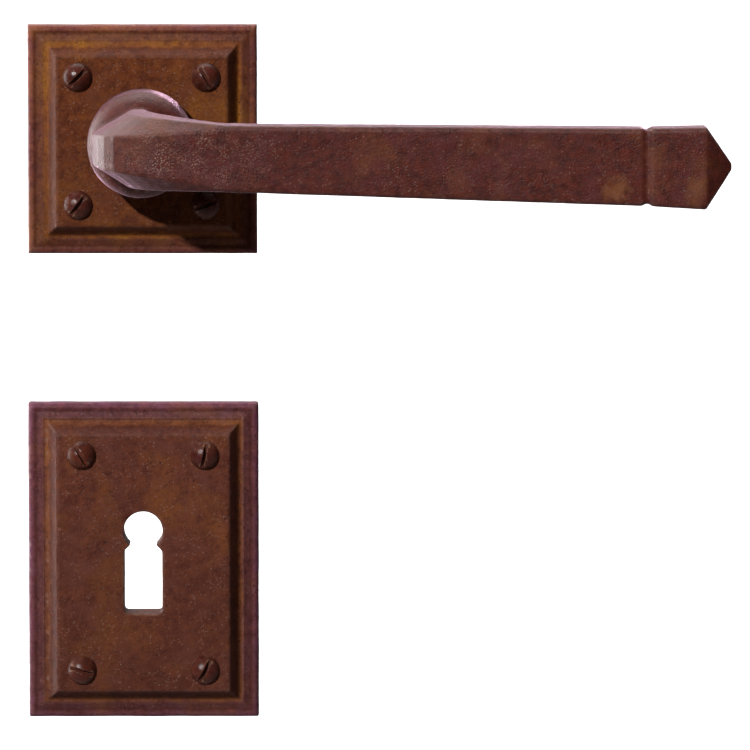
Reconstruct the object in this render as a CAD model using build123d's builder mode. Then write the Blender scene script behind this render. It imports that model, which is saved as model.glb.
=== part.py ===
from build123d import *
import math
import os

os.makedirs("parts", exist_ok=True)

# A lever door handle on a square rose, with the keyhole escutcheon that belongs below it.
#
# Frame, in millimetres: the origin is on the spindle axis, in the plane of the door's face.
# +X runs along the lever to its tip, +Y goes into the door and +Z is up. A distance called
# "out" is measured from the door's face towards the room, so it is -Y. Angles around the
# spindle are seen from the room, anticlockwise from +X.

# ---------------------------------------------------------------------------
# Driving dimensions
# ---------------------------------------------------------------------------

# Plates
rose_size = 54.0             # the square rose, each way
escutcheon_width = 54.5
escutcheon_height = 75.0
keyhole_drop = 92.0          # from the spindle axis down to the round part of the keyhole
keyhole_above_middle = 7.5   # the round part stands this far above the escutcheon's middle

# Stepped moulding that both plates share
ledge_out = 5.0              # front of the ledge that runs round the plate
ovolo_radius = 1.8           # rounding of the ledge's outer edge
ledge_inset = 4.6            # from the plate's edge to the foot of the bevel
bevel_run = 2.3              # width of the bevel from the ledge up to the panel
panel_out = 9.0              # front of the flat panel
panel_round = 0.4            # softened edge of the panel
plate_wall = 2.5             # metal left behind the face of the hollow escutcheon
back_rim = 3.0               # flat rim round the back of the escutcheon

# Wood screws, slotted round head, 3.5 x 30, with a rolled thread wider than the shank
screw_head_radius = 3.5
screw_head_height = 2.4
screw_slot_width = 0.9
screw_slot_depth = 1.3
screw_shank_radius = 1.3
screw_thread_radius = 1.75   # at the thread's crest, from the door's face to the point
screw_length = 30.0
screw_point = 4.0
screw_hole_radius = 1.9
screw_boss_radius = 4.2
rose_screw_inset = 12.0          # from the plate's edge to the screw's middle
escutcheon_screw_inset_x = 12.75
escutcheon_screw_inset_z = 12.0
# One slot angle for each screw: bottom left, top left, bottom right, top right
rose_slot_angles = (52, 45, 20, -60)
escutcheon_slot_angles = (-17, -60, 62, 78)

# Keyhole, measured from the centre of its round part
keyhole_radius = 4.5
keyhole_waist_half = 2.9
keyhole_waist_drop = 3.25
keyhole_slot_half = 4.4
keyhole_shoulder_drop = 4.8
keyhole_corner_drop = 19.2
keyhole_bow = 0.15           # how far the slot's sides lean in at mid height
keyhole_bulge = 0.7          # how far the slot's foot bulges down
keyhole_rim = 2.5            # rim behind the plate, round the keyhole

# Lever
neck_radius = 12.5
neck_top_out = 27.0
neck_round = 7.0
elbow_pivot_x = 20.0         # the bend's sections all fan out from this line
elbow_pivot_out = 24.0
elbow_outer = 31.0           # from that line to the outside of the bend, where it leaves the neck
elbow_thickness = 21.0       # thickness there
elbow_half_height = 8.8
elbow_chamfer = 5.5          # how high its cut corners are there
elbow_slant = 1.7            # how many times deeper than high they are
elbow_squareness = 3.6       # 2 rounds the outside of the bend like an ellipse, more squares it
bar_front_out = 49.5
bar_thickness = 9.0
bar_half_start = 7.75        # half height of the bar's outline at the bend
bar_half_end = 8.9           # and at the groove
bar_chamfer = 0.8
bar_drop = 0.65              # how far the bar's middle starts below the spindle's axis
bar_slope = 0.0205           # how fast it sinks along X
groove_x = 116.8
groove_half_width = 1.2
groove_depth = 0.6
block_end_x = 130.4
block_half_height = 9.3
tip_x = 136.5
tip_blunt = 0.7
elbow_sections = 13

# Journal, bush and spindle
journal_radius = 8.0
running_fit = 0.05           # radial clearance of the journal in its bush
axial_gap = 0.05             # clearance between faces that turn against each other
bush_wall = 1.95
bush_flange = 1.0            # thickness of the bush's flange
bush_flange_inset = 0.7      # how far the flange stays inside the neck's outline
flat_depth = 1.4             # how far each of the journal's two flats cuts in
spindle_side = 8.0
spindle_clearance = 0.1      # on each side of the spindle in its square hole
spindle_chamfer = 0.5
spindle_front_out = 27.0
spindle_end_gap = 1.0        # empty end of the square hole
spindle_length = 110.0
grub_radius = 3.0
grub_sunk = 0.5              # how far the grub screw's end stays inside the neck
grub_out = 17.0
grub_socket = 1.6            # circumradius of the hexagon socket

# The mechanism in the back of the rose, from the front of its chamber to its cover
front_wall = 3.0
collar_wall = 2.4            # width of the collar and the thrust washer round the journal
washer_thickness = 0.55
collar_thickness = 1.7
wave_wall = 2.2
wave_thickness = 0.4
ring_wall = 2.1
ring_thickness = 1.0
ring_groove_depth = 0.4
ring_gap = 3.0
ring_eyelet_radius = 1.5
ring_eyelet_hole = 0.6
journal_land = 0.6           # metal between the ring's groove and the end of the journal
cover_thickness = 1.5
cover_seat = 1.5             # width of the step that the cover rests on
cover_clearance = 0.15
cover_hole_gap = 0.85        # between the cover and the spindle's corners
ear_reach = 2.0              # how far outside the pocket the cover's two screws stand
ear_radius = 3.4
cover_screw_radius = 1.25
cover_screw_head = 2.35
cover_screw_cone = 1.1
cover_screw_length = 5.0
cover_screw_slot = 0.6

# Stops and spring
turn_range = 40              # degrees from rest to fully pressed
stop_lug_half = 10           # half angle of the stop lug, degrees
stop_gap = 0.5               # degrees left between the lug and a pin at each end
stop_pin_radius = 1.25
stop_pin_depth = 1.8
stop_pin_gap = 0.35          # between the collar and the pins
stop_lug_reach = 0.8         # how far the stop lug goes past the middle of a pin
drive_pin_radius = 0.8
drive_pin_wall = 0.6         # metal of the spring lug on each side of the drive pin
spring_lug_half = 9
spring_wire = 1.4
spring_lug_gap = 0.7         # between the spring lug and the coil
spring_room = 1.7            # between the coil and the chamber's wall
spring_anchor = 180          # angle of the leg that is held by the rose
spring_turns = 1             # whole turns besides the part turn between the two legs
spring_leg_past = 0.9        # how far in the driven leg goes past the middle of the drive pin
spring_leg_held = 1.6        # how far out the held leg goes past the chamber's wall
spring_gap = 0.15

# ---------------------------------------------------------------------------
# Values worked out from them
# ---------------------------------------------------------------------------

escutcheon_middle = -(keyhole_drop + keyhole_above_middle)
bevel_angle = math.degrees(math.atan2(bevel_run, panel_out - ledge_out))
hollow_inset = ledge_inset + bevel_run + plate_wall / 3
rose_screw_spacing = rose_size - 2 * rose_screw_inset
escutcheon_screw_spacing_x = escutcheon_width - 2 * escutcheon_screw_inset_x
escutcheon_screw_spacing_z = escutcheon_height - 2 * escutcheon_screw_inset_z

chamber_front = panel_out - front_wall
washer_out = chamber_front - axial_gap - washer_thickness
collar_out = washer_out - collar_thickness
wave_out = collar_out - wave_thickness
ring_out = wave_out - ring_thickness
journal_end = ring_out - journal_land
ring_groove_radius = journal_radius - ring_groove_depth
shoulder_out = panel_out + bush_flange + axial_gap

# Circles round the spindle, from the journal outwards
flat_width = 2 * (journal_radius - flat_depth)
bush_radius = journal_radius + running_fit + bush_wall
bush_flange_radius = neck_radius - bush_flange_inset
collar_radius = journal_radius + collar_wall
ring_radius = journal_radius + ring_wall
stop_circle = collar_radius + stop_pin_gap + stop_pin_radius
lug_radius = stop_circle + stop_lug_reach
drive_circle = collar_radius + drive_pin_wall + drive_pin_radius
spring_lug_radius = drive_circle + drive_pin_radius + drive_pin_wall
spring_radius = max(lug_radius, spring_lug_radius) + spring_lug_gap + spring_wire / 2
spring_leg_in = drive_circle - spring_leg_past
chamber_radius = spring_radius + spring_wire / 2 + spring_room
spring_leg_out = chamber_radius + spring_leg_held
pocket_radius = chamber_radius + cover_seat
ear_spacing = 2 * (pocket_radius + ear_reach)
cover_hole_radius = spindle_side / math.sqrt(2) + cover_hole_gap

square_hole_out = spindle_front_out + spindle_end_gap
grub_length = neck_radius - spindle_side / 2 - grub_sunk

pin_half_angle = math.degrees(math.asin(stop_pin_radius / stop_circle))
rest_pin_angle = 90 + stop_lug_half + stop_gap + pin_half_angle
end_pin_angle = 90 - turn_range - stop_lug_half - stop_gap - pin_half_angle

drive_angle = 270
leg_offset = math.degrees((drive_pin_radius + spring_wire / 2) / drive_circle)
spring_driven = drive_angle - leg_offset
spring_sweep = 360 * spring_turns + spring_anchor + 360 - spring_driven
spring_front = chamber_front - spring_gap - spring_wire / 2
spring_back = cover_thickness + spring_gap + spring_wire / 2


def out(distance, height=0.0):
    """A plane that faces the room, this far out, with its origin this far above the spindle."""
    return Plane(origin=(0, -distance, height), x_dir=(1, 0, 0), z_dir=(0, -1, 0))


def around(radius, angle, distance):
    """A point on a circle round the spindle, this far out."""
    turn = math.radians(angle)
    return Vector(radius * math.cos(turn), -distance, radius * math.sin(turn))


def finish(piece, name):
    """Names a finished piece and writes its file."""
    piece.part.label = name
    export_step(piece.part, f"parts/{name}.step")


# ---------------------------------------------------------------------------
# Plates
# ---------------------------------------------------------------------------


def moulded_plate(width, height, middle):
    """A solid plate with a rounded edge, a flat ledge, a bevel and a raised panel."""
    with BuildPart() as plate:
        with BuildSketch(out(0, middle)):
            Rectangle(width, height)
        extrude(amount=ledge_out)
        fillet(plate.faces().sort_by(Axis.Y)[0].edges(), ovolo_radius)
        with BuildSketch(out(ledge_out, middle)):
            Rectangle(width - 2 * ledge_inset, height - 2 * ledge_inset)
        extrude(amount=panel_out - ledge_out, taper=bevel_angle)
        fillet(plate.faces().sort_by(Axis.Y)[0].edges(), panel_round)
    return plate.part


def cover_outline(clearance):
    """The spring cover's outline: a disc with an ear above and below."""
    with BuildSketch() as outline:
        Circle(pocket_radius - clearance)
        with GridLocations(0, ear_spacing, 1, 2):
            Circle(ear_radius - clearance)
    return outline.sketch


rose_blank = moulded_plate(rose_size, rose_size, 0)
cover_pocket = cover_outline(0)
cover_shape = cover_outline(cover_clearance)

with BuildPart() as rose_plate:
    add(rose_blank)
    # Pocket for the cover, chamber for the mechanism and bore for the bush
    with BuildSketch(out(0)):
        add(cover_pocket)
    extrude(amount=cover_thickness, mode=Mode.SUBTRACT)
    with BuildSketch(out(0)):
        Circle(chamber_radius)
    extrude(amount=chamber_front, mode=Mode.SUBTRACT)
    with BuildSketch(out(0)):
        Circle(bush_radius)
    extrude(amount=panel_out, mode=Mode.SUBTRACT)
    # Slot that holds the spring's outer leg
    with BuildSketch(out(cover_thickness)):
        with PolarLocations(chamber_radius, 1, start_angle=spring_anchor):
            Rectangle(2 * (spring_leg_out + spring_gap - chamber_radius), spring_wire + 2 * spring_gap)
    extrude(amount=chamber_front - cover_thickness, mode=Mode.SUBTRACT)
    # Blind holes for the stop pins, and threaded holes for the cover's screws
    with BuildSketch(out(chamber_front)):
        for angle in (rest_pin_angle, end_pin_angle):
            with PolarLocations(stop_circle, 1, start_angle=angle):
                Circle(stop_pin_radius)
    extrude(amount=stop_pin_depth, mode=Mode.SUBTRACT)
    with BuildSketch(out(cover_thickness)):
        with GridLocations(0, ear_spacing, 1, 2):
            Circle(cover_screw_radius)
    extrude(amount=cover_screw_length - cover_thickness, mode=Mode.SUBTRACT)
    # Holes for the wood screws
    with BuildSketch(out(0)):
        with GridLocations(rose_screw_spacing, rose_screw_spacing, 2, 2):
            Circle(screw_hole_radius)
    extrude(amount=panel_out, mode=Mode.SUBTRACT)
finish(rose_plate, "rose_plate")


def keyhole_outline(margin):
    """The keyhole, grown by a margin, with the centre of its round part at the origin."""
    with BuildSketch() as outline:
        with BuildLine():
            Polyline(
                (-keyhole_slot_half, -keyhole_shoulder_drop),
                (-keyhole_waist_half, -keyhole_waist_drop),
                (keyhole_waist_half, -keyhole_waist_drop),
                (keyhole_slot_half, -keyhole_shoulder_drop),
            )
            mid_drop = (keyhole_shoulder_drop + keyhole_corner_drop) / 2
            for side in (1, -1):
                ThreePointArc(
                    (side * keyhole_slot_half, -keyhole_shoulder_drop),
                    (side * (keyhole_slot_half - keyhole_bow), -mid_drop),
                    (side * keyhole_slot_half, -keyhole_corner_drop),
                )
            ThreePointArc(
                (keyhole_slot_half, -keyhole_corner_drop),
                (0, -keyhole_corner_drop - keyhole_bulge),
                (-keyhole_slot_half, -keyhole_corner_drop),
            )
        make_face()
        Circle(keyhole_radius)
        if margin:
            offset(amount=margin)
    return outline.sketch


escutcheon_blank = moulded_plate(escutcheon_width, escutcheon_height, escutcheon_middle)
keyhole = keyhole_outline(0)
keyhole_with_rim = keyhole_outline(keyhole_rim)

with BuildPart() as escutcheon_plate:
    add(escutcheon_blank)
    # Hollow back: shallow behind the ledge, deep behind the panel
    for inset, depth in ((back_rim, ledge_out - plate_wall), (hollow_inset, panel_out - plate_wall)):
        with BuildSketch(out(0, escutcheon_middle)):
            Rectangle(escutcheon_width - 2 * inset, escutcheon_height - 2 * inset)
        extrude(amount=depth, mode=Mode.SUBTRACT)
    # Bosses behind the screws, and a rim behind the keyhole
    with BuildSketch(out(0, escutcheon_middle)):
        with GridLocations(escutcheon_screw_spacing_x, escutcheon_screw_spacing_z, 2, 2):
            Circle(screw_boss_radius)
    extrude(amount=panel_out - plate_wall)
    with BuildSketch(out(0, -keyhole_drop)):
        add(keyhole_with_rim)
    extrude(amount=panel_out - plate_wall)
    # Screw holes and keyhole
    with BuildSketch(out(0, escutcheon_middle)):
        with GridLocations(escutcheon_screw_spacing_x, escutcheon_screw_spacing_z, 2, 2):
            Circle(screw_hole_radius)
    extrude(amount=panel_out, mode=Mode.SUBTRACT)
    with BuildSketch(out(0, -keyhole_drop)):
        add(keyhole)
    extrude(amount=panel_out, mode=Mode.SUBTRACT)
finish(escutcheon_plate, "escutcheon_plate")

# ---------------------------------------------------------------------------
# Screws
# ---------------------------------------------------------------------------

# One wood screw, with the underside of its head at the origin and its point towards +Y
with BuildPart() as wood_screw:
    with BuildSketch(Plane.XY):
        with BuildLine():
            dome_radius = (screw_head_radius**2 + screw_head_height**2) / (2 * screw_head_height)
            dome_half = math.acos((dome_radius - screw_head_height) / dome_radius) / 2
            dome_middle = dome_radius - screw_head_height
            ThreePointArc(
                (0, -screw_head_height),
                (dome_radius * math.sin(dome_half), dome_middle - dome_radius * math.cos(dome_half)),
                (screw_head_radius, 0),
            )
            Polyline(
                (screw_head_radius, 0),
                (screw_shank_radius, 0),
                (screw_shank_radius, panel_out),
                (screw_thread_radius, panel_out),
                (screw_thread_radius, screw_length - screw_point),
                (0, screw_length),
                (0, -screw_head_height),
            )
        make_face()
    revolve(axis=Axis.Y)
    with BuildSketch(out(screw_head_height)):
        Rectangle(3 * screw_head_radius, screw_slot_width)
    extrude(amount=-screw_slot_depth, mode=Mode.SUBTRACT)


def screw_places(spacing_x, spacing_z, middle, slot_angles):
    """Four corner locations on a plate's panel, each turned to its screw's slot angle."""
    corners = [(x, z) for x in (-0.5, 0.5) for z in (-0.5, 0.5)]
    return [
        Location((x * spacing_x, -panel_out, middle + z * spacing_z), (0, -turn, 0))
        for (x, z), turn in zip(corners, slot_angles)
    ]


with BuildPart() as rose_screws:
    with Locations(screw_places(rose_screw_spacing, rose_screw_spacing, 0, rose_slot_angles)):
        add(wood_screw.part)
finish(rose_screws, "rose_screws")

with BuildPart() as escutcheon_screws:
    with Locations(screw_places(
        escutcheon_screw_spacing_x, escutcheon_screw_spacing_z, escutcheon_middle, escutcheon_slot_angles
    )):
        add(wood_screw.part)
finish(escutcheon_screws, "escutcheon_screws")

# ---------------------------------------------------------------------------
# Fixed pieces of the mechanism
# ---------------------------------------------------------------------------

with BuildPart() as neck_bush:
    with BuildSketch(out(chamber_front)):
        Circle(bush_radius)
    extrude(amount=front_wall)
    with BuildSketch(out(panel_out)):
        Circle(bush_flange_radius)
    extrude(amount=bush_flange)
    with BuildSketch(out(chamber_front)):
        Circle(journal_radius + running_fit)
    extrude(amount=front_wall + bush_flange, mode=Mode.SUBTRACT)
finish(neck_bush, "neck_bush")

with BuildPart() as stop_pins:
    with BuildSketch(out(collar_out)):
        for angle in (rest_pin_angle, end_pin_angle):
            with PolarLocations(stop_circle, 1, start_angle=angle):
                Circle(stop_pin_radius)
    extrude(amount=chamber_front + stop_pin_depth - collar_out)
finish(stop_pins, "stop_pins")

with BuildPart() as spring_cover:
    with BuildSketch(out(0)):
        add(cover_shape)
        Circle(cover_hole_radius, mode=Mode.SUBTRACT)
    extrude(amount=cover_thickness)
    with Locations(Plane(origin=(0, 0, 0), x_dir=(1, 0, 0), z_dir=(0, 1, 0))):
        with GridLocations(0, ear_spacing, 1, 2):
            CounterSinkHole(
                radius=cover_screw_radius + 0.1,
                counter_sink_radius=cover_screw_head + 0.05,
                counter_sink_angle=90,
            )
finish(spring_cover, "spring_cover")

# Countersunk screws, flush with the back of the cover
with BuildPart() as cover_screw:
    with BuildSketch(Plane.XY):
        with BuildLine():
            Polyline(
                (0, 0),
                (cover_screw_head, 0),
                (cover_screw_radius, -cover_screw_cone),
                (cover_screw_radius, -cover_screw_length),
                (0, -cover_screw_length),
                close=True,
            )
        make_face()
    revolve(axis=Axis.Y)
    with BuildSketch(out(0)):
        Rectangle(3 * cover_screw_head, cover_screw_slot)
    extrude(amount=cover_screw_slot, mode=Mode.SUBTRACT)

with BuildPart() as cover_screws:
    with Locations((0, 0, -ear_spacing / 2), (0, 0, ear_spacing / 2)):
        add(cover_screw.part)
finish(cover_screws, "cover_screws")


def coil_point(share):
    """A point on the spring's centre line, from its held end (0) to its driven end (1)."""
    distance = spring_front + share * (spring_back - spring_front)
    return around(spring_radius, spring_anchor - share * spring_sweep, distance)


with BuildPart() as return_spring:
    steps = round(spring_sweep / 20)
    with BuildLine() as coil:
        Spline(*[coil_point(step / steps) for step in range(steps + 1)])
    with BuildSketch(Plane(origin=coil.line @ 0, z_dir=coil.line % 0)):
        Circle(spring_wire / 2)
    sweep(path=coil.line)
    # The two legs, with a ball where each one turns off the coil
    for bend, foot in (
        (coil_point(0), around(spring_leg_out, spring_anchor, spring_front)),
        (coil_point(1), around(spring_leg_in, spring_driven, spring_back)),
    ):
        with Locations(bend):
            Sphere(spring_wire / 2)
        with BuildSketch(Plane(origin=bend, z_dir=foot - bend)):
            Circle(spring_wire / 2)
        extrude(amount=(foot - bend).length)
finish(return_spring, "return_spring")

# ---------------------------------------------------------------------------
# The lever
# ---------------------------------------------------------------------------


def ellipse_radius(across, along, angle, power=2.0):
    """The radius of an ellipse, squarer for a higher power, at an angle from its first half axis."""
    return ((math.cos(angle) / across) ** power + (math.sin(angle) / along) ** power) ** (-1 / power)


def bar_middle(x):
    """How high the middle of the sloping bar is at this X."""
    return -bar_drop - bar_slope * x


def bar_section(inner, outer, half_height, chamfer, middle, slant=1.0):
    """The bar's eight-sided section, with x from its back to its front and y up."""
    depth = slant * chamfer
    with BuildSketch() as section:
        Polygon(
            (inner + depth, middle - half_height),
            (outer - depth, middle - half_height),
            (outer, middle - half_height + chamfer),
            (outer, middle + half_height - chamfer),
            (outer - depth, middle + half_height),
            (inner + depth, middle + half_height),
            (inner, middle + half_height - chamfer),
            (inner, middle - half_height + chamfer),
            align=None,
        )
    return section.sketch


def elbow_section(angle):
    """The plane and section of the bend, from the neck (0) to the bar (a right angle)."""
    fade = math.cos(angle)
    bar_outer = bar_front_out - elbow_pivot_out
    outer = ellipse_radius(elbow_outer, bar_outer, angle, elbow_squareness)
    inner = ellipse_radius(elbow_outer - elbow_thickness, bar_outer - bar_thickness, angle)
    half_height = bar_half_start + (elbow_half_height - bar_half_start) * fade
    chamfer = bar_chamfer + (elbow_chamfer - bar_chamfer) * fade
    middle = bar_middle(elbow_pivot_x) * (1 - fade)
    slant = 1 + (elbow_slant - 1) * fade
    plane = Plane(
        origin=(elbow_pivot_x, -elbow_pivot_out, 0),
        x_dir=(-math.cos(angle), -math.sin(angle), 0),
        z_dir=(-math.sin(angle), math.cos(angle), 0),
    )
    return plane, bar_section(inner, outer, half_height, chamfer, middle, slant)


def bar_plane(x):
    """A plane across the bar, with its x running out from the door and its y up."""
    return Plane(origin=(x, 0, 0), x_dir=(0, -1, 0), z_dir=(-1, 0, 0))


def bar_row(x, half_height, inset=0.0):
    """The plane and section of the straight bar at this X."""
    inner = bar_front_out - bar_thickness + inset
    outer = bar_front_out - inset
    return bar_plane(x), bar_section(inner, outer, half_height - inset, bar_chamfer, bar_middle(x))


elbow_rows = [elbow_section(math.radians(90 * step / (elbow_sections - 1)))
              for step in range(elbow_sections)]
bar_middle_out = bar_front_out - bar_thickness / 2
bar_rows = [
    bar_row(elbow_pivot_x, bar_half_start),
    bar_row(groove_x - groove_half_width, bar_half_end),
    bar_row(groove_x, bar_half_end, groove_depth),
    bar_row(groove_x + groove_half_width, bar_half_end),
    bar_row(block_end_x, block_half_height),
    (bar_plane(tip_x), bar_section(
        bar_middle_out - tip_blunt / 2, bar_middle_out + tip_blunt / 2, tip_blunt,
        tip_blunt / 5, bar_middle(tip_x),
    )),
]

with BuildPart() as lever_handle:
    # Round neck with a rounded shoulder, and the journal that turns in the bush
    with BuildSketch(out(shoulder_out)):
        Circle(neck_radius)
    extrude(amount=neck_top_out - shoulder_out)
    fillet(lever_handle.faces().sort_by(Axis.Y)[0].edges(), neck_round)
    with BuildSketch(out(journal_end)):
        Circle(journal_radius)
    extrude(amount=shoulder_out - journal_end)
    # The bend, from inside the neck round to the bar
    with BuildSketch(elbow_rows[0][0]):
        add(elbow_rows[0][1])
    extrude(amount=elbow_pivot_out - neck_top_out / 2)
    for plane, section in elbow_rows:
        with BuildSketch(plane):
            add(section)
    loft()
    # The straight bar, its groove, the end block and the point
    for plane, section in bar_rows:
        with BuildSketch(plane):
            add(section)
    loft(ruled=True)
    # Flats for the drive collar, and the retaining ring's groove
    with BuildSketch(out(journal_end)):
        Circle(journal_radius + 1)
        Rectangle(flat_width, 3 * journal_radius, mode=Mode.SUBTRACT)
    extrude(amount=washer_out - journal_end, mode=Mode.SUBTRACT)
    with BuildSketch(out(ring_out)):
        Circle(journal_radius + 1)
        Circle(ring_groove_radius, mode=Mode.SUBTRACT)
    extrude(amount=ring_thickness + axial_gap, mode=Mode.SUBTRACT)
    # Square hole for the spindle, and the grub screw's hole from below
    with BuildSketch(out(journal_end)):
        Rectangle(spindle_side + 2 * spindle_clearance, spindle_side + 2 * spindle_clearance)
    extrude(amount=square_hole_out - journal_end, mode=Mode.SUBTRACT)
    with BuildSketch(Plane(origin=(0, -grub_out, 0), x_dir=(1, 0, 0), z_dir=(0, 0, -1))):
        Circle(grub_radius)
    extrude(amount=neck_radius + 1, mode=Mode.SUBTRACT)
finish(lever_handle, "lever_handle")

with BuildPart() as spindle:
    with BuildSketch(out(spindle_front_out)):
        Rectangle(spindle_side, spindle_side)
    extrude(amount=-spindle_length)
    chamfer(spindle.edges(), spindle_chamfer)
finish(spindle, "spindle")

with BuildPart() as spindle_grub_screw:
    grub_end = spindle_side / 2
    with BuildSketch(Plane(origin=(0, -grub_out, -grub_end), x_dir=(1, 0, 0), z_dir=(0, 0, -1))):
        Circle(grub_radius)
    extrude(amount=grub_length)
    with BuildSketch(Plane(origin=(0, -grub_out, -grub_end - grub_length), x_dir=(1, 0, 0), z_dir=(0, 0, 1))):
        RegularPolygon(grub_socket, 6)
    extrude(amount=grub_length / 2, mode=Mode.SUBTRACT)
finish(spindle_grub_screw, "spindle_grub_screw")

# ---------------------------------------------------------------------------
# Pieces that turn with the lever inside the rose
# ---------------------------------------------------------------------------

with BuildPart() as thrust_washer:
    with BuildSketch(out(washer_out)):
        Circle(collar_radius)
        Circle(journal_radius + running_fit, mode=Mode.SUBTRACT)
    extrude(amount=washer_thickness)
finish(thrust_washer, "thrust_washer")

with BuildSketch() as collar_bore:
    Circle(journal_radius + running_fit)
    Rectangle(flat_width + 2 * running_fit, 3 * journal_radius, mode=Mode.INTERSECT)


def lug(angle, half_angle, radius):
    """A sector of a disc round the spindle, for a lug on the collar."""
    with BuildSketch() as sector:
        with BuildLine():
            start = around(radius, angle - half_angle, 0)
            middle = around(radius, angle, 0)
            end = around(radius, angle + half_angle, 0)
            Line((0, 0), (start.X, start.Z))
            ThreePointArc((start.X, start.Z), (middle.X, middle.Z), (end.X, end.Z))
            Line((end.X, end.Z), (0, 0))
        make_face()
    return sector.sketch


stop_lug = lug(90, stop_lug_half, lug_radius)
spring_lug = lug(drive_angle, spring_lug_half, spring_lug_radius)

with BuildPart() as drive_collar:
    with BuildSketch(out(collar_out)):
        Circle(collar_radius)
        add(stop_lug)
        add(spring_lug)
        add(collar_bore.sketch, mode=Mode.SUBTRACT)
        with PolarLocations(drive_circle, 1, start_angle=drive_angle):
            Circle(drive_pin_radius, mode=Mode.SUBTRACT)
    extrude(amount=collar_thickness)
finish(drive_collar, "drive_collar")

with BuildPart() as drive_pin:
    with BuildSketch(out(spring_back - spring_wire / 2)):
        with PolarLocations(drive_circle, 1, start_angle=drive_angle):
            Circle(drive_pin_radius)
    extrude(amount=washer_out - spring_back + spring_wire / 2)
finish(drive_pin, "drive_pin")

with BuildPart() as wave_washer:
    with BuildSketch(out(wave_out)):
        Circle(journal_radius + wave_wall)
        Circle(journal_radius + running_fit, mode=Mode.SUBTRACT)
    extrude(amount=wave_thickness)
finish(wave_washer, "wave_washer")

with BuildPart() as retaining_ring:
    eyelet_x = ring_gap / 2 + ring_eyelet_radius
    eyelet_z = (ring_groove_radius + ring_radius) / 2
    with BuildSketch(out(ring_out)):
        Circle(ring_radius)
        with GridLocations(2 * eyelet_x, 0, 2, 1):
            with Locations((0, eyelet_z)):
                Circle(ring_eyelet_radius)
        Circle(ring_groove_radius, mode=Mode.SUBTRACT)
        with Locations((0, eyelet_z)):
            Rectangle(ring_gap, 2 * ring_radius - 2 * ring_groove_radius, mode=Mode.SUBTRACT)
            with GridLocations(2 * eyelet_x, 0, 2, 1):
                Circle(ring_eyelet_hole, mode=Mode.SUBTRACT)
    extrude(amount=ring_thickness)
finish(retaining_ring, "retaining_ring")
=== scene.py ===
# %% [markdown]
# # A door lever on a square rose, with its keyhole plate
#
# The set is waxed, rust-brown cast iron: a lever that turns in a square rose, and a separate
# plate for the key below it. The frame holds the exact solids. The machined pieces stay as they
# are, and the castings and the wood screws are modelled again, with the soft edges and uneven
# faces that sand casting and years of hands leave.
#
# Lengths are in metres. The origin is on the spindle, in the plane of the door's face. +X runs
# to the lever's tip, +Y goes into the door and +Z is up, so what is nearer the room has a
# smaller Y. A distance called "out" is measured from the door towards the room.

# %% Load the frame
import math
import bmesh
import bpy
from mathutils import Matrix, Vector


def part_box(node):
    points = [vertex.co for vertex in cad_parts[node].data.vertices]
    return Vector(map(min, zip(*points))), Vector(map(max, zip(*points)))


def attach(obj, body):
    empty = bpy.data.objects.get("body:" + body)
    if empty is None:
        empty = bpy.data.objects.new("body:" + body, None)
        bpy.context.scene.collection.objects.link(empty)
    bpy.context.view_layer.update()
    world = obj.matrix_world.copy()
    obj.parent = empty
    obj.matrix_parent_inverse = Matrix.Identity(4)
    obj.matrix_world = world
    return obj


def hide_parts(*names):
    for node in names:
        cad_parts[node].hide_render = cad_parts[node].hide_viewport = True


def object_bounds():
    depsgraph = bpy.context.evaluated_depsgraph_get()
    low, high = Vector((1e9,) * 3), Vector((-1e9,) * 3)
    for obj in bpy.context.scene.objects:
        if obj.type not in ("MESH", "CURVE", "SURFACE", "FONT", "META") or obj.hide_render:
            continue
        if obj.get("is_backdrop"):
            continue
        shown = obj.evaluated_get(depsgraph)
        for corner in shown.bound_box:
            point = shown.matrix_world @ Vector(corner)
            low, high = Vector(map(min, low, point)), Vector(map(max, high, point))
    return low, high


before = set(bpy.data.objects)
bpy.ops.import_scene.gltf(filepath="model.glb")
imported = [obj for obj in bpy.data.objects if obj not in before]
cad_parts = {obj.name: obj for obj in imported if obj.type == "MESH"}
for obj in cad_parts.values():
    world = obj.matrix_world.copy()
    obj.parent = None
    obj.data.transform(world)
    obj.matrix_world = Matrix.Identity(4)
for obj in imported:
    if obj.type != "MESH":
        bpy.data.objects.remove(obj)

MM = 0.001
cad_low, cad_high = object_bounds()
print("the frame measures", [round(v / MM, 1) for v in cad_high - cad_low], "mm")

# %% [markdown]
# ## The camera
#
# A long lens from nearly two metres keeps the square plates square. The camera stands a little
# above the handle and looks slightly down at it. Its lens is worked out from the width that it
# has to take in at the door.

# %% Place the camera
camera_distance = 1.80
camera_above = 190.5 * MM     # above the middle of the set
camera_aside = -6.6 * MM
view_width = 177.0 * MM       # what the picture takes in at the door
middle = (cad_low + cad_high) / 2
aim = Vector((middle.x, 0, middle.z - 1.0 * MM))

camera = bpy.data.objects.new("camera", bpy.data.cameras.new("camera"))
bpy.context.collection.objects.link(camera)
camera.location = (middle.x + camera_aside, -camera_distance, middle.z + camera_above)
sight = aim - camera.location
camera.rotation_euler = sight.to_track_quat("-Z", "Y").to_euler()
camera.data.sensor_width = 36
camera.data.lens = camera.data.sensor_width * sight.length / view_width
bpy.context.scene.camera = camera
print("the lens is", round(camera.data.lens), "mm, from", round(sight.length, 2), "m")

# %% [markdown]
# ## Light
#
# One hard lamp from the upper left draws the moulding and throws the lever's shadow down to the
# right. Two wide panels stand to the left of the handle and above it, both a little behind, so
# they only light what turns away from the eye: the sides of the neck and the bend go pale and
# the faces towards the room stay dark. A faint world light fills the shadow.

# %% Hang the lamps
towards_key = Vector((-0.425, -0.787, 0.449))


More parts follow.
